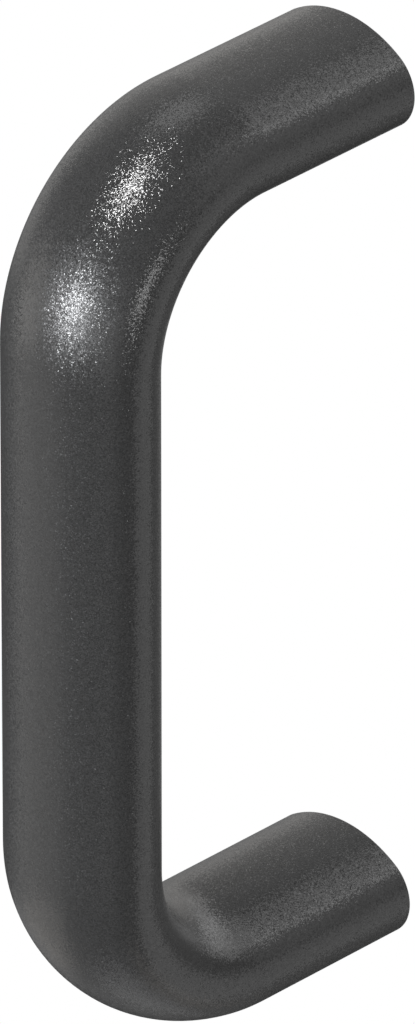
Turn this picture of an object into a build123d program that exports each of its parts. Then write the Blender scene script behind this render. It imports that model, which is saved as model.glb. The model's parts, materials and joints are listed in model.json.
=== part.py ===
from build123d import *

import math
import os

# Bow handle: one solid aluminium bar of oval section, bent into a bow and tapped in both feet.
# Frame, in millimetres: the origin is midway between the two screw holes on the mounting plane,
# which is Y = 0. +Z runs up along the grip, the bow stands out towards -Y, and X is across the bar.

# Driving dimensions of the bow
SCREW_SPACING = 100.0  # from the axis of one leg to the axis of the other
HANDLE_HEIGHT = 47.0  # from the mounting plane to the front of the grip
BEND_INNER_RADIUS = 13.0  # on the finger side of each bend

# Driving dimensions of the bar's oval section
BAR_WIDTH = 20.0  # across X
BAR_THICKNESS = 13.0  # in the plane of the bow
FACE_CROWN = 1.5  # how far each broad face bulges past the rounded sides

# Driving dimensions of the feet
FOOT_EDGE_RADIUS = 0.2  # the broken edge round each foot
THREAD_DIAMETER = 6.0
THREAD_PITCH = 1.0
DRILL_DEPTH = 15.0  # of the full diameter, from the mounting plane
DRILL_POINT_ANGLE = 118.0
COUNTERSINK_ANGLE = 120.0
COUNTERSINK_MARGIN = 0.4  # on the thread's diameter, at the mouth of the hole

# Worked out from the driving dimensions
grip_axis_y = -(HANDLE_HEIGHT - BAR_THICKNESS / 2)
leg_axis_z = SCREW_SPACING / 2
bend_radius = BEND_INNER_RADIUS + BAR_THICKNESS / 2


def oval_section():
    """The bar's outline: two crowned broad faces that run tangent into two tighter rounded sides."""
    half_thickness = BAR_THICKNESS / 2
    side_radius = half_thickness - FACE_CROWN
    side_centre = BAR_WIDTH / 2 - side_radius
    face_radius = (side_centre**2 + half_thickness**2 - side_radius**2) / (2 * FACE_CROWN)
    face_centre = face_radius - half_thickness
    side_half_angle = math.degrees(math.atan2(face_centre, side_centre))
    side_sweep = 2 * side_half_angle
    face_sweep = 180 - side_sweep
    return make_face(
        [
            CenterArc((side_centre, 0), side_radius, -side_half_angle, side_sweep),
            CenterArc((0, -face_centre), face_radius, side_half_angle, face_sweep),
            CenterArc((-side_centre, 0), side_radius, 180 - side_half_angle, side_sweep),
            CenterArc((0, face_centre), face_radius, 180 + side_half_angle, face_sweep),
        ]
    )


def foot_plane(leg_z):
    """The mounting face of one leg, with its normal pointing into the leg."""
    return Plane(origin=(0, 0, leg_z), x_dir=(1, 0, 0), z_dir=(0, -1, 0))


def bent_bar():
    """The oval section swept from the upper foot round both bends to the lower foot."""
    centreline = FilletPolyline(
        (0, 0, leg_axis_z),
        (0, grip_axis_y, leg_axis_z),
        (0, grip_axis_y, -leg_axis_z),
        (0, 0, -leg_axis_z),
        radius=bend_radius,
    )
    bar = sweep(foot_plane(leg_axis_z) * oval_section(), path=centreline)
    foot_edges = bar.faces().filter_by(GeomType.PLANE).edges()
    return fillet(foot_edges, FOOT_EDGE_RADIUS)


def screw_hole():
    """What the drill and the countersink take out of a foot, along +Z from its mounting face."""
    drill_radius = (THREAD_DIAMETER - THREAD_PITCH) / 2
    mouth_radius = (THREAD_DIAMETER + COUNTERSINK_MARGIN) / 2
    countersink_depth = (mouth_radius - drill_radius) / math.tan(math.radians(COUNTERSINK_ANGLE / 2))
    point_depth = drill_radius / math.tan(math.radians(DRILL_POINT_ANGLE / 2))
    half_profile = Polyline(
        (0, 0),
        (mouth_radius, 0),
        (drill_radius, countersink_depth),
        (drill_radius, DRILL_DEPTH),
        (0, DRILL_DEPTH + point_depth),
        close=True,
    )
    return revolve(Plane.XZ * make_face(half_profile), Axis.Z)


def bow_handle():
    """The finished handle: the bent bar with a blind screw hole up the middle of each leg."""
    handle = bent_bar()
    for leg_z in (leg_axis_z, -leg_axis_z):
        handle -= foot_plane(leg_z) * screw_hole()
    handle.label = "bow_handle"
    return handle


os.makedirs("parts", exist_ok=True)
export_step(bow_handle(), "parts/bow_handle.step")
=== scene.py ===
"""The looks of a bow handle: one bent oval bar in textured powder coat, with a tapped hole in each foot."""

import json
import logging
import math
from collections.abc import Callable
from dataclasses import dataclass
from enum import Enum
from typing import Any

import bpy
from mathutils import Euler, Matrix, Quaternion, Vector

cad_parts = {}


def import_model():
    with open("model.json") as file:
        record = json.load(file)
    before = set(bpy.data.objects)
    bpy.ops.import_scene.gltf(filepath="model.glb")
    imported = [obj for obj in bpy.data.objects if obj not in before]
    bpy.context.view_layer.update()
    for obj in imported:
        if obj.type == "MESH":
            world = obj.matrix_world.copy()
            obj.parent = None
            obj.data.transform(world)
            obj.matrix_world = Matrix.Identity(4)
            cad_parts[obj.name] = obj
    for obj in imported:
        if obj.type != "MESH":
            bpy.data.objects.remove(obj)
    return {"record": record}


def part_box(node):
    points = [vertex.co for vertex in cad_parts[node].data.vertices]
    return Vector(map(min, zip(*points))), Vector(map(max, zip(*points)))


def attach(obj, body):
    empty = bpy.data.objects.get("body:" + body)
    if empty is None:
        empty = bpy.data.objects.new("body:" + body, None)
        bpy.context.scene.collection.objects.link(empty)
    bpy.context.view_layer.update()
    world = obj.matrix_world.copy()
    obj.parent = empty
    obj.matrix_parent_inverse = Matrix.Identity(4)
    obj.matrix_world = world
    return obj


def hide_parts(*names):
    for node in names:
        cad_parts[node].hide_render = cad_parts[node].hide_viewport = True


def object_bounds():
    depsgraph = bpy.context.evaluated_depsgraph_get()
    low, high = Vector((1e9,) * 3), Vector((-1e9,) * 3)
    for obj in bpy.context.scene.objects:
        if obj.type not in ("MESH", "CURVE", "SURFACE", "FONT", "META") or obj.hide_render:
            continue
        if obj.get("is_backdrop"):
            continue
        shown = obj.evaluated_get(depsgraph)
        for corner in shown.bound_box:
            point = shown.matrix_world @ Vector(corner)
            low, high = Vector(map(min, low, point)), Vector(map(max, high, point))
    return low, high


log = logging.getLogger("bow_handle")

MM = 0.001
NODE = "bow_handle"
BODY = "root"

WELD = 1e-7  # metres between points that are merged
NEAR = 1e-6  # metres within which a point counts as lying on a plane
WAVE_BAND = math.tau / 20  # metres that one band of Blender's wave texture takes at a scale of 1


class Finish(Enum):
    """The handle's two surfaces, in the order of its material slots."""

    COAT = 0
    BARE = 1


class Rays(Enum):
    """The rays that see the white of the background, as the outputs of a Light Path node."""

    CAMERA = "Is Camera Ray"
    GLOSSY = "Is Glossy Ray"
    TRANSMISSION = "Is Transmission Ray"


class Tint(Enum):
    """The colours of the lamps' front cloths."""

    WHITE = "#FFFFFF"
    COOL = "#FAFCFF"
    CREAM = "#FFFCF8"
    IVORY = "#FFFAF4"
    AMBER = "#FFF8F0"


def linear(hex_colour: str) -> tuple[float, float, float, float]:
    """Turn an sRGB hex colour into a linear one.

    Args:
        hex_colour: six hex digits after a hash sign.

    Returns:
        Red, green, blue and an alpha of 1.
    """
    channels = [int(hex_colour[i : i + 2], 16) / 255 for i in (1, 3, 5)]
    red, green, blue = (c / 12.92 if c <= 0.04045 else ((c + 0.055) / 1.055) ** 2.4 for c in channels)
    return (red, green, blue, 1.0)


def add_node(
    tree: bpy.types.NodeTree, kind: str, inputs: dict[str | int, Any], **settings: Any
) -> bpy.types.Node:
    """Add a node with its settings and links.

    Args:
        tree: the node tree that gets it.
        kind: the node's type name.
        inputs: for each input by name or number, a socket to link or a value to set.
        settings: the node's own properties.

    Returns:
        The new node.
    """
    node = tree.nodes.new(kind)
    for name, value in settings.items():
        setattr(node, name, value)
    for name, value in inputs.items():
        if isinstance(value, bpy.types.NodeSocket):
            tree.links.new(value, node.inputs[name])
        else:
            node.inputs[name].default_value = value
    return node


def blank_material(name: str) -> bpy.types.Material:
    """Make a material with an empty node tree.

    Args:
        name: the material's name.

    Returns:
        The material, ready for its nodes.
    """
    material = bpy.data.materials.new(name)
    material.use_nodes = True
    material.node_tree.nodes.clear()
    return material


def direction(azimuth: float, elevation: float) -> Vector:
    """The unit vector towards a place round the handle.

    Args:
        azimuth: degrees from the front, -Y, towards +X.
        elevation: degrees above the horizon.

    Returns:
        The direction from the handle.
    """
    turn, lift = math.radians(azimuth), math.radians(elevation)
    return Vector((math.sin(turn) * math.cos(lift), -math.cos(turn) * math.cos(lift), math.sin(lift)))


def facing(azimuth: float, elevation: float, roll: float = 0.0) -> Euler:
    """The turn of a lamp, card or camera that looks back at the handle from a place round it.

    Args:
        azimuth: degrees from the front, -Y, towards +X.
        elevation: degrees above the horizon.
        roll: degrees that its top leans towards smaller azimuths.

    Returns:
        The turn.
    """
    upright = direction(azimuth, elevation).to_track_quat("Z", "Y")
    return (upright @ Quaternion((0, 0, 1), math.radians(roll))).to_euler()


@dataclass(frozen=True)
class PowderCoat:
    """Polyester powder coat with a fine texture, sprayed and baked on the whole bar.

    The melted powder leaves a skin of tiny smooth facets, each tilted its own way. The eye gets a nearly
    black, neutral grey that breaks up into white sparks where a lamp is reflected. Elsewhere it shows a faint
    salt and pepper, which is painted shade and light: each facet gets a grey picked at random between a
    darker one, which paints the shade of the hollows between the facets, and a lighter one, which paints the
    light on their tops.
    """

    name: str = "fine_textured_powder_coat"
    # Painted shade and painted light: the first grey stands in for the shade in the hollows between the
    # facets, the second for the light on their tops.
    painted_hollow_shade_colour: str = "#272727"
    painted_top_light_colour: str = "#3F3F3F"
    roughness: float = 0.07
    ior: float = 1.55
    facet_size: float = 0.12 * MM
    chip_size: float = 0.09 * MM
    flat_tilt: float = 0.15  # slope of a facet, for a small random number
    steep_tilt: float = 0.14  # slope that is added as the number nears 1

    def make(self) -> bpy.types.Material:
        """Make the material."""
        material = blank_material(self.name)
        tree = material.node_tree
        place = add_node(tree, "ShaderNodeTexCoord", {}).outputs["Object"]
        facets = add_node(tree, "ShaderNodeTexVoronoi", {"Vector": place, "Scale": 1 / self.facet_size})
        chips = add_node(tree, "ShaderNodeTexVoronoi", {"Vector": place, "Scale": 1 / self.chip_size})
        # The two patterns' random colours, from -1 to 1 in all, give a tilt that is small on most facets and
        # steep on a few.
        both = add_node(
            tree,
            "ShaderNodeVectorMath",
            {0: facets.outputs["Color"], 1: chips.outputs["Color"]},
            operation="ADD",
        )
        random = add_node(
            tree, "ShaderNodeVectorMath", {0: both.outputs["Vector"], 1: (1, 1, 1)}, operation="SUBTRACT"
        ).outputs["Vector"]
        square = add_node(tree, "ShaderNodeVectorMath", {0: random, 1: random}, operation="MULTIPLY")
        gain = add_node(
            tree,
            "ShaderNodeVectorMath",
            {0: square.outputs["Vector"], 1: (self.steep_tilt,) * 3, 2: (self.flat_tilt,) * 3},
            operation="MULTIPLY_ADD",
        )
        lean = add_node(
            tree, "ShaderNodeVectorMath", {0: random, 1: gain.outputs["Vector"]}, operation="MULTIPLY"
        )
        smooth = add_node(tree, "ShaderNodeNewGeometry", {}).outputs["Normal"]
        tilted = add_node(
            tree, "ShaderNodeVectorMath", {0: smooth, 1: lean.outputs["Vector"]}, operation="ADD"
        )
        normal = add_node(
            tree, "ShaderNodeVectorMath", {0: tilted.outputs["Vector"]}, operation="NORMALIZE"
        )
        # Each facet's random number picks its grey between the painted hollow shade and the painted top
        # light, giving a salt and pepper of painted shade and light.
        painted_shade_speckle_mask = add_node(tree, "ShaderNodeSeparateColor", {"Color": facets.outputs["Color"]})
        # A Mix node takes its two colours at inputs 6 and 7, and gives the mixed one at output 2.
        tint = add_node(
            tree,
            "ShaderNodeMix",
            {0: painted_shade_speckle_mask.outputs["Red"], 6: linear(self.painted_hollow_shade_colour), 7: linear(self.painted_top_light_colour)},
            data_type="RGBA",
        )
        shader = add_node(
            tree,
            "ShaderNodeBsdfPrincipled",
            {
                "Base Color": tint.outputs[2],
                "Roughness": self.roughness,
                "IOR": self.ior,
                "Normal": normal.outputs["Vector"],
            },
        )
        add_node(tree, "ShaderNodeOutputMaterial", {"Surface": shader.outputs["BSDF"]})
        return material


@dataclass(frozen=True)
class CutAluminium:
    """Wrought aluminium as the drill and the tap leave it, kept free of powder by a plug in the oven.

    It is a bright, slightly warm grey metal with fine rings round the hole where the edges went.
    """

    name: str = "cut_aluminium"
    colour: str = "#D6D4D0"
    roughness: float = 0.32
    ring_spacing: float = 0.25 * MM  # a drill leaves rings of about 0.08 mm, which are too fine to show
    ring_depth: float = 0.006 * MM
    ring_wander: float = 1.5
    ring_detail: float = 2.0

    def make(self) -> bpy.types.Material:
        """Make the material."""
        material = blank_material(self.name)
        tree = material.node_tree
        place = add_node(tree, "ShaderNodeTexCoord", {}).outputs["Object"]
        rings = add_node(
            tree,
            "ShaderNodeTexWave",
            {
                "Vector": place,
                "Scale": WAVE_BAND / self.ring_spacing,
                "Distortion": self.ring_wander,
                "Detail": self.ring_detail,
            },
            wave_type="BANDS",
            bands_direction="Y",
        )
        bumps = add_node(
            tree,
            "ShaderNodeBump",
            {"Strength": 1.0, "Distance": self.ring_depth, "Height": rings.outputs["Fac"]},
        )
        shader = add_node(
            tree,
            "ShaderNodeBsdfPrincipled",
            {
                "Base Color": linear(self.colour),
                "Metallic": 1.0,
                "Roughness": self.roughness,
                "Normal": bumps.outputs["Normal"],
            },
        )
        add_node(tree, "ShaderNodeOutputMaterial", {"Surface": shader.outputs["BSDF"]})
        return material


@dataclass(frozen=True)
class OvalSection:
    """The bar's outline: two crowned broad faces that run tangent into two tighter rounded sides."""

    width: float
    thickness: float
    face_crown: float = 1.5 * MM
    side_steps: int = 36
    face_steps: int = 24

    @property
    def side_radius(self) -> float:
        """The radius of the two sides."""
        return self.thickness / 2 - self.face_crown

    @property
    def side_centre(self) -> float:
        """How far each side's centre lies from the bar's axis."""
        return self.width / 2 - self.side_radius

    @property
    def face_centre(self) -> float:
        """How far each broad face's centre lies beyond the bar's axis."""
        half = self.thickness / 2
        radius = (self.side_centre**2 + half**2 - self.side_radius**2) / (2 * self.face_crown)
        return radius - half

    @property
    def side_half_angle(self) -> float:
        """Half of the angle that each side turns through."""
        return math.atan2(self.face_centre, self.side_centre)

    @property
    def points(self) -> int:
        """How many points the outline has."""
        return 2 * (self.side_steps + self.face_steps)


@dataclass(frozen=True)
class ScrewHole:
    """A drilled and tapped blind hole in a foot."""

    drill_radius: float
    wall_length: float
    thread_radius: float = 3.0 * MM
    pitch: float = 1.0 * MM
    thread_depth: float = 12.5 * MM
    mouth_radius: float = 3.2 * MM
    countersink_angle: float = 120.0
    point_angle: float = 118.0
    flank_angle: float = 30.0
    root_flat: float = 0.125 * MM
    core_clearance: float = 0.1 * MM
    thread_steps: int = 60
    spare_turns: int = 3  # of the tap's winding, which are cut off at its ends
    start_height: float = 2.03 * MM  # of the tap's winding, so that no point of it lies on a cut

    @property
    def countersink_depth(self) -> float:
        """How deep the countersink goes before it meets the drilled wall."""
        return (self.mouth_radius - self.drill_radius) / math.tan(math.radians(self.countersink_angle / 2))

    @property
    def point_depth(self) -> float:
        """The length of the drill's point."""
        return self.drill_radius / math.tan(math.radians(self.point_angle / 2))


@dataclass
class BowHandle:
    """The handle: a bent bar with two feet, each with a screw hole."""

    screw_spacing: float
    height: float
    section: OvalSection
    hole: ScrewHole
    bend_inner_radius: float = 13.0 * MM
    bend_steps: int = 48
    foot_edge_radius: float = 0.2 * MM
    foot_edge_steps: int = 4
    smooth_angle: float = 35.0

    @classmethod
    def from_frame(cls, record: dict[str, Any]) -> "BowHandle":
        """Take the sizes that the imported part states.

        Args:
            record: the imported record.

        Returns:
            The handle, not yet built.
        """
        low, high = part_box(NODE)
        dims = {mount["name"]: mount["dims"] for mount in record["mounts"]}
        spacing = dims["screw_pattern"]["spacing_y_mm"] * MM
        hole = dims["upper_screw_hole"]
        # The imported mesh's flat facets cut a hair off the rounded sides, so the width is rounded to a tenth
        # of a millimetre.
        width = round(high.x - low.x, 4)
        return cls(
            screw_spacing=spacing,
            height=high.y - low.y,
            section=OvalSection(width=width, thickness=high.z - low.z - spacing),
            hole=ScrewHole(drill_radius=hole["r_mm"] * MM, wall_length=hole["length_mm"] * MM),
        )

    @property
    def bend_radius(self) -> float:
        """The radius of each bend along the bar's axis."""
        return self.bend_inner_radius + self.section.thickness / 2

    @property
    def leg_length(self) -> float:
        """The straight part of each leg, from the foot to the bend."""
        return self.height - self.section.thickness / 2 - self.bend_radius

    @property
    def grip_half(self) -> float:
        """Half of the grip's straight part."""
        return self.screw_spacing / 2 - self.bend_radius

    def build(self) -> bpy.types.Object:
        """Model one half, then its mirror image, then the threads, which both turn one way.

        Returns:
            The finished piece, at the origin.
        """
        bar = self._start_mesh("handle_bar", Vector((0, 0, self.screw_spacing / 2)))
        self._trace_outline()
        self._draw_out_half_bow()
        self._round_foot()
        self._sink_hole()
        bpy.ops.object.mode_set(mode="OBJECT")
        self._mirror(bar)
        self._cut_threads(bar)
        self._smooth(bar)
        return bar

    def dress(self, bar: bpy.types.Object) -> None:
        """Coat the bar and leave its holes bare.

        Args:
            bar: the built handle.
        """
        bar.data.materials.clear()
        bar.data.materials.append(PowderCoat().make())
        bar.data.materials.append(CutAluminium().make())
        for face in bar.data.polygons:
            bare = self._in_hole(face.center) and face.center.y < -NEAR
            face.material_index = (Finish.BARE if bare else Finish.COAT).value

    def _in_hole(self, point: Vector) -> bool:
        """Whether a point lies within the mouth's radius of a hole's axis, and no deeper than the drill."""
        off_axis = math.hypot(point.x, abs(point.z) - self.screw_spacing / 2)
        deepest = self.hole.countersink_depth + self.hole.wall_length + self.hole.point_depth
        return off_axis < self.hole.mouth_radius and point.y > -deepest - NEAR

    @staticmethod
    def _start_mesh(name: str, place: Vector) -> bpy.types.Object:
        """Begin a mesh as one point, and leave it open for editing.

        Args:
            name: the object's name.
            place: where the point is.

        Returns:
            The object, whose origin is the world's.
        """
        bpy.ops.object.select_all(action="DESELECT")
        bpy.ops.mesh.primitive_plane_add(size=MM, location=(0, 0, 0))
        piece = bpy.context.active_object
        piece.name = name
        piece.data.name = name
        bpy.ops.object.mode_set(mode="EDIT")
        bpy.ops.mesh.select_all(action="SELECT")
        bpy.ops.mesh.merge(type="CENTER")
        bpy.ops.transform.translate(value=place)
        return piece

    def _trace_outline(self) -> None:
        """Spin the open mesh's point round the four arcs of the section, at the upper foot."""
        section, half_angle = self.section, self.section.side_half_angle
        start = Vector((math.cos(half_angle), 0, -math.sin(half_angle))) * section.side_radius
        start.x += section.side_centre
        bpy.ops.transform.translate(value=start)
        side_turn, face_turn = 2 * half_angle, math.pi - 2 * half_angle
        arcs = [
            (Vector((section.side_centre, 0, 0)), side_turn, section.side_steps),
            (Vector((0, 0, -section.face_centre)), face_turn, section.face_steps),
            (Vector((-section.side_centre, 0, 0)), side_turn, section.side_steps),
            (Vector((0, 0, section.face_centre)), face_turn, section.face_steps),
        ]
        foot = Vector((0, 0, self.screw_spacing / 2))
        for centre, turn, steps in arcs:
            bpy.ops.mesh.spin(steps=steps, angle=turn, center=foot + centre, axis=(0, 1, 0))
        bpy.ops.mesh.select_all(action="SELECT")
        bpy.ops.mesh.remove_doubles(threshold=WELD)

    def _draw_out_half_bow(self) -> None:
        """Draw the outline out along the leg, round the bend and down to the middle of the grip."""
        bpy.ops.mesh.extrude_edges_move(TRANSFORM_OT_translate={"value": (0, -self.leg_length, 0)})
        centre = (0, -self.leg_length, self.grip_half)
        bpy.ops.mesh.spin(steps=self.bend_steps, angle=-math.pi / 2, center=centre, axis=(1, 0, 0))
        bpy.ops.mesh.extrude_edges_move(TRANSFORM_OT_translate={"value": (0, 0, -self.grip_half)})

    def _round_foot(self) -> None:
        """Close the foot and break its edge."""
        self._select_points(lambda point: point.y > -NEAR)
        bpy.ops.mesh.edge_face_add()
        bpy.ops.mesh.bevel(affect="EDGES", offset=self.foot_edge_radius, segments=self.foot_edge_steps)

    def _sink_hole(self) -> None:
        """Open the foot's face to the hole's mouth, and go down the countersink, the wall and the point."""
        hole, axis = self.hole, Vector((0, 0, self.screw_spacing / 2))
        self._select_points(lambda point: point.y > -NEAR)
        bpy.ops.mesh.delete(type="ONLY_FACE")
        bpy.ops.mesh.select_all(action="DESELECT")
        # The mouth's ring is joined while it hangs below the foot, so that no rings are joined crosswise.
        hang = Vector((0, -hole.wall_length, 0))
        bpy.ops.mesh.primitive_circle_add(
            vertices=self.section.points,
            radius=hole.mouth_radius,
            location=axis + hang,
            rotation=(math.pi / 2, 0, 0),
        )
        reach = hole.mouth_radius + NEAR
        self._select_points(lambda point: point.y > -NEAR or (point - axis - hang).length < reach)
        bpy.ops.mesh.bridge_edge_loops()
        self._select_points(lambda point: (point - axis - hang).length < reach)
        bpy.ops.transform.translate(value=-hang)
        bpy.ops.mesh.extrude_edges_move(TRANSFORM_OT_translate={"value": (0, -hole.countersink_depth, 0)})
        narrowing = hole.drill_radius / hole.mouth_radius
        bpy.ops.transform.resize(value=(narrowing, 1, narrowing), center_override=axis)
        bpy.ops.mesh.extrude_edges_move(TRANSFORM_OT_translate={"value": (0, -hole.wall_length, 0)})
        bpy.ops.mesh.extrude_edges_move(TRANSFORM_OT_translate={"value": (0, -hole.point_depth, 0)})
        bpy.ops.mesh.merge(type="CENTER")
        bpy.ops.mesh.select_all(action="SELECT")
        bpy.ops.mesh.remove_doubles(threshold=WELD)
        bpy.ops.mesh.normals_make_consistent(inside=False)

    @staticmethod
    def _select_points(wanted: Callable[[Vector], bool]) -> None:
        """Select the open mesh's points that a test picks, and the edges and faces between them.

        Args:
            wanted: a function that takes a point's place and says whether it is selected.
        """
        bpy.ops.mesh.select_mode(type="VERT")
        bpy.ops.mesh.select_all(action="DESELECT")
        bpy.ops.object.mode_set(mode="OBJECT")
        for vertex in bpy.context.active_object.data.vertices:
            vertex.select = wanted(vertex.co)
        bpy.ops.object.mode_set(mode="EDIT")

    @staticmethod
    def _mirror(bar: bpy.types.Object) -> None:
        """Make the lower half as the mirror image of the upper.

        Args:
            bar: the upper half.
        """
        mirror = bar.modifiers.new("lower_half", "MIRROR")
        mirror.use_axis = (False, False, True)
        mirror.use_clip = True
        mirror.merge_threshold = NEAR
        bpy.ops.object.modifier_apply(modifier=mirror.name)
        bpy.ops.object.mode_set(mode="EDIT")
        bpy.ops.mesh.select_all(action="SELECT")
        bpy.ops.mesh.remove_doubles(threshold=WELD)
        bpy.ops.mesh.normals_make_consistent(inside=False)
        bpy.ops.object.mode_set(mode="OBJECT")

    def _cut_threads(self, bar: bpy.types.Object) -> None:
        """Cut a right-handed thread into each hole's wall with a tap-shaped solid.

        Args:
            bar: the handle with its drilled holes.
        """
        taps = self._taps()
        bpy.ops.object.select_all(action="DESELECT")
        bpy.context.view_layer.objects.active = bar
        bar.select_set(True)
        cut = bar.modifiers.new("threads", "BOOLEAN")
        cut.operation = "DIFFERENCE"
        cut.solver = "EXACT"
        cut.object = taps
        bpy.ops.object.modifier_apply(modifier=cut.name)
        bpy.data.objects.remove(taps)

    def _taps(self) -> bpy.types.Object:
        """Make two tap-shaped solids: a profile wound up into a screw, cut off square, and copied.

        Returns:
            The solids as one object, in the places where they cut.
        """
        hole = self.hole
        core = hole.drill_radius - hole.core_clearance
        depth = hole.thread_radius - core
        flank = depth * math.tan(math.radians(hole.flank_angle))
        core_flat = hole.pitch - 2 * flank - hole.root_flat
        taps = self._start_mesh("taps", Vector((core, hole.start_height, 0)))
        for step in ((0, -core_flat), (depth, -flank), (0, -hole.root_flat), (-depth, -flank)):
            bpy.ops.mesh.extrude_vertices_move(TRANSFORM_OT_translate={"value": (*step, 0)})
        bpy.ops.object.mode_set(mode="OBJECT")
        winding = taps.modifiers.new("winding", "SCREW")
        winding.axis = "Y"
        winding.screw_offset = -hole.pitch
        winding.iterations = math.ceil(hole.thread_depth / hole.pitch) + hole.spare_turns
        winding.steps = winding.render_steps = hole.thread_steps
        winding.use_merge_vertices = True
        winding.merge_threshold = WELD
        bpy.ops.object.modifier_apply(modifier=winding.name)
        bpy.ops.object.mode_set(mode="EDIT")
        bpy.ops.mesh.select_all(action="SELECT")
        bpy.ops.mesh.remove_doubles(threshold=WELD)
        for end, outwards in ((hole.pitch / 2, 1), (-hole.thread_depth, -1)):
            bpy.ops.mesh.select_all(action="SELECT")
            bpy.ops.mesh.bisect(
                plane_co=(0, end, 0),
                plane_no=(0, outwards, 0),
                use_fill=True,
                clear_outer=True,
                threshold=WELD,
            )
        bpy.ops.mesh.select_all(action="SELECT")
        bpy.ops.mesh.normals_make_consistent(inside=False)
        bpy.ops.transform.translate(value=(0, 0, self.screw_spacing / 2))
        bpy.ops.mesh.duplicate_move(TRANSFORM_OT_translate={"value": (0, 0, -self.screw_spacing)})
        bpy.ops.object.mode_set(mode="OBJECT")
        return taps

    def _smooth(self, bar: bpy.types.Object) -> None:
        """Weld the cuts, shade the bar smooth and keep its flat faces flat.

        Args:
            bar: the handle with its threads.
        """
        bpy.ops.object.mode_set(mode="EDIT")
        bpy.ops.mesh.select_all(action="SELECT")
        bpy.ops.mesh.remove_doubles(threshold=WELD)
        bpy.ops.object.mode_set(mode="OBJECT")
        bpy.ops.object.shade_smooth_by_angle(angle=math.radians(self.smooth_angle))
        weights = bar.modifiers.new("flat_faces", "WEIGHTED_NORMAL")
        weights.keep_sharp = True
        bpy.ops.object.modifier_apply(modifier=weights.name)


@dataclass(frozen=True)
class Softbox:
    """A studio lamp with an oval front, aimed at the handle.

    Its angles are in degrees, its sizes in metres and its power in watts.
    """

    name: str
    azimuth: float
    elevation: float
    width: float
    height: float
    power: float
    tint: Tint = Tint.WHITE
    roll: float = 0.0
    distance: float = 1.5

    def place(self, aim: Vector) -> None:
        """Set the lamp up.

        Args:
            aim: the point that it is turned to.
        """
        bpy.ops.object.select_all(action="DESELECT")
        bpy.ops.object.light_add(
            type="AREA", location=aim + direction(self.azimuth, self.elevation) * self.distance
        )
        lamp = bpy.context.active_object
        lamp.name = self.name
        lamp.rotation_euler = facing(self.azimuth, self.elevation, self.roll)
        lamp.data.shape = "ELLIPSE"
        lamp.data.size = self.width
        lamp.data.size_y = self.height
        lamp.data.energy = self.power
        lamp.data.color = linear(self.tint.value)[:3]
        lamp.visible_camera = False


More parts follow.
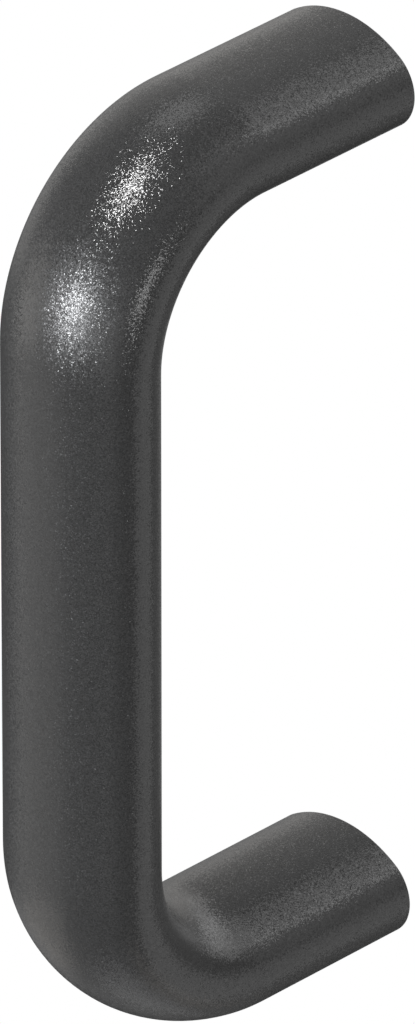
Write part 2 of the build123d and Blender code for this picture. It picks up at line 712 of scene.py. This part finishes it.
@dataclass(frozen=True)
class DarkCard:
    """A matt dark card that stands out of the picture and gives the coat dark edges to reflect.

    Its angles are in degrees and its sizes in metres.
    """

    name: str
    azimuth: float
    elevation: float
    width: float
    height: float
    colour: str
    distance: float = 1.3

    def place(self, aim: Vector) -> None:
        """Set the card up.

        Args:
            aim: the point that it is turned to.
        """
        material = blank_material(f"matt_{self.name}")
        tree = material.node_tree
        card_stock = add_node(tree, "ShaderNodeBsdfDiffuse", {"Color": linear(self.colour)})
        add_node(tree, "ShaderNodeOutputMaterial", {"Surface": card_stock.outputs["BSDF"]})
        bpy.ops.object.select_all(action="DESELECT")
        bpy.ops.mesh.primitive_plane_add(
            size=1.0, location=aim + direction(self.azimuth, self.elevation) * self.distance
        )
        card = bpy.context.active_object
        card.name = self.name
        card.rotation_euler = facing(self.azimuth, self.elevation)
        card.scale = (self.width, self.height, 1.0)
        card.data.materials.append(material)
        card.visible_camera = False
        card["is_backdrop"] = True


@dataclass
class Studio:
    """The surroundings: a pale floor far below the handle, a grey tent, white beyond it, and the lamps."""

    aim: Vector
    floor_drop: float = 1.20
    floor_radius: float = 0.42
    floor_colour: str = "#DCDCDC"
    floor_points: int = 96
    tent_radius: float = 2.4
    tent_segments: int = 64
    tent_rings: int = 32
    tent_level: float = 0.232  # of white
    ambient: float = 0.4  # of white

    # The three front lamps overlap, so that their light fades from the middle outwards. The panels are wide
    # and dim, and give the coat its soft bands.
    lamps: tuple[Softbox, ...] = (
        Softbox("overhead_lamp", -22.5, 63.4, 0.20, 0.66, 11.2, roll=38.0),
        Softbox("front_lamp", -10.9, 9.4, 0.31, 0.38, 6.7, Tint.COOL),
        Softbox("front_glow", -10.8, 7.8, 0.86, 0.74, 6.6, Tint.COOL),
        Softbox("front_haze", -10.6, 8.2, 1.76, 1.28, 8.9, Tint.COOL),
        Softbox("front_left_panel", -56.0, -3.0, 0.78, 0.90, 1.70, Tint.CREAM),
        Softbox("front_right_panel", 33.0, -4.0, 0.95, 1.05, 1.05),
        Softbox("right_lamp", 74.0, 4.0, 0.64, 0.40, 2.8),
        Softbox("back_lamp", -121.4, 58.0, 0.60, 0.58, 1.27),
        Softbox("back_right_lamp", 151.0, 42.5, 0.36, 0.36, 0.58),
        Softbox("back_right_panel", 165.0, 45.0, 0.95, 0.62, 1.40),
        Softbox("back_panel", -160.0, 46.0, 1.10, 0.70, 0.54),
        Softbox("behind_lamp", 178.0, 18.5, 1.40, 0.82, 2.70),
        Softbox("behind_panel", -158.0, 13.0, 1.10, 0.45, 0.66),
        Softbox("far_panel", -140.0, -6.0, 1.00, 0.50, 0.30, Tint.IVORY),
        Softbox("left_panel", -125.0, 18.0, 1.60, 1.20, 1.36, Tint.CREAM),
        Softbox("left_side_panel", -98.0, -4.0, 1.20, 0.48, 0.60, Tint.CREAM),
        Softbox("left_low_panel", -47.0, -26.0, 1.45, 1.30, 1.34, Tint.CREAM),
        Softbox("left_deep_panel", -68.0, -51.0, 1.35, 0.55, 0.62, Tint.AMBER),
        Softbox("right_deep_panel", 112.0, -64.0, 1.20, 0.60, 0.62, Tint.AMBER),
        Softbox("right_low_panel", 122.0, -26.0, 1.20, 1.90, 3.12),
        Softbox("right_panel", 120.0, 28.0, 1.40, 1.10, 1.82),
        Softbox("right_high_panel", 115.0, 62.0, 0.80, 0.60, 0.73),
    )
    cards: tuple[DarkCard, ...] = (
        DarkCard("far_card", -151.0, -45.0, 0.96, 0.48, "#505050"),
        DarkCard("left_card", -108.0, -29.0, 0.72, 0.34, "#565656"),
    )

    def build(self) -> None:
        """Set up the floor, the tent, the world, the cards and the lamps."""
        self._lay_floor()
        self._hang_tent()
        self._light_world()
        for gear in self.cards + self.lamps:
            gear.place(self.aim)
            log.info("%s", gear.name)

    @staticmethod
    def _seen_white(tree: bpy.types.NodeTree) -> bpy.types.NodeSocket:
        """Add what is 1 for the rays that see the background's white, and 0 for the rest.

        Args:
            tree: the node tree that gets it.

        Returns:
            The socket with that number.
        """
        path = add_node(tree, "ShaderNodeLightPath", {})
        seen = path.outputs[Rays.CAMERA.value]
        for rays in (Rays.GLOSSY, Rays.TRANSMISSION):
            either = add_node(
                tree, "ShaderNodeMath", {0: seen, 1: path.outputs[rays.value]}, operation="MAXIMUM"
            )
            seen = either.outputs["Value"]
        return seen

    def _lay_floor(self) -> None:
        """Lay a matt pale paper floor, which is clear from below, so that the coat is lit from there too."""
        material = blank_material("white_paper")
        material.use_backface_culling = True
        tree = material.node_tree
        paper = add_node(
            tree, "ShaderNodeBsdfDiffuse", {"Color": linear(self.floor_colour), "Roughness": 1.0}
        )
        clear = add_node(tree, "ShaderNodeBsdfTransparent", {})
        side = add_node(tree, "ShaderNodeNewGeometry", {})
        both = add_node(
            tree,
            "ShaderNodeMixShader",
            {0: side.outputs["Backfacing"], 1: paper.outputs["BSDF"], 2: clear.outputs["BSDF"]},
        )
        add_node(tree, "ShaderNodeOutputMaterial", {"Surface": both.outputs["Shader"]})
        bpy.ops.object.select_all(action="DESELECT")
        bpy.ops.mesh.primitive_circle_add(
            vertices=self.floor_points,
            radius=self.floor_radius,
            fill_type="NGON",
            location=(0, 0, -self.floor_drop),
        )
        floor = bpy.context.active_object
        floor.name = "floor"
        floor.data.materials.append(material)
        floor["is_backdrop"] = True
        log.info("floor")

    def _hang_tent(self) -> None:
        """Hang a round tent of evenly lit grey cloth, which the camera looks through and the coat shows."""
        material = blank_material("lit_grey_cloth")
        material.cycles.emission_sampling = "NONE"
        tree = material.node_tree
        glow = add_node(tree, "ShaderNodeEmission", {"Strength": self.tent_level})
        add_node(tree, "ShaderNodeOutputMaterial", {"Surface": glow.outputs["Emission"]})
        bpy.ops.object.select_all(action="DESELECT")
        bpy.ops.mesh.primitive_uv_sphere_add(
            segments=self.tent_segments, ring_count=self.tent_rings, radius=self.tent_radius
        )
        tent = bpy.context.active_object
        tent.name = "grey_tent"
        tent.data.materials.append(material)
        tent.visible_camera = False
        tent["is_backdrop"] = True
        log.info("tent")

    def _light_world(self) -> None:
        """Surround the handle with an even light that the camera sees as white."""
        world = bpy.data.worlds.new("white_surroundings")
        world.use_nodes = True
        bpy.context.scene.world = world
        tree = world.node_tree
        tree.nodes.clear()
        strength = add_node(
            tree,
            "ShaderNodeMapRange",
            {"Value": self._seen_white(tree), "To Min": self.ambient, "To Max": 1.0},
        )
        light = add_node(
            tree,
            "ShaderNodeBackground",
            {"Color": linear(Tint.WHITE.value), "Strength": strength.outputs["Result"]},
        )
        add_node(tree, "ShaderNodeOutputWorld", {"Surface": light.outputs["Background"]})


@dataclass(frozen=True)
class LongLens:
    """A camera far off with a long lens, so that the legs run parallel as in the photograph."""

    azimuth: float = 44.59
    elevation: float = 29.86
    distance: float = 2101.7 * MM
    aim: tuple[float, float, float] = (0.0, -21.34 * MM, 3.98 * MM)
    focal_length: float = 690.0  # millimetres, as Blender has it
    far_limit: float = 20.0

    def place(self) -> None:
        """Set the camera up and make it the scene's."""
        bpy.ops.object.select_all(action="DESELECT")
        bpy.ops.object.camera_add(
            location=Vector(self.aim) + direction(self.azimuth, self.elevation) * self.distance
        )
        camera = bpy.context.active_object
        camera.name = "long_lens"
        camera.rotation_euler = facing(self.azimuth, self.elevation)
        camera.data.lens = self.focal_length
        camera.data.clip_end = self.far_limit
        bpy.context.scene.camera = camera


def main() -> None:
    """Build the handle, its finish and the studio round it."""
    logging.basicConfig(level=logging.INFO, format="%(name)s: %(message)s")
    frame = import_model()
    cad_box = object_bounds()
    handle = BowHandle.from_frame(frame["record"])
    bar = handle.build()
    handle.dress(bar)
    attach(bar, BODY)
    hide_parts(NODE)
    log.info("piece %s: %d faces", bar.name, len(bar.data.polygons))
    Studio(aim=(cad_box[0] + cad_box[1]) / 2).build()
    LongLens().place()
    log.info("camera")
    bpy.context.scene.view_settings.view_transform = "Standard"


if __name__ == "__main__":
    main()
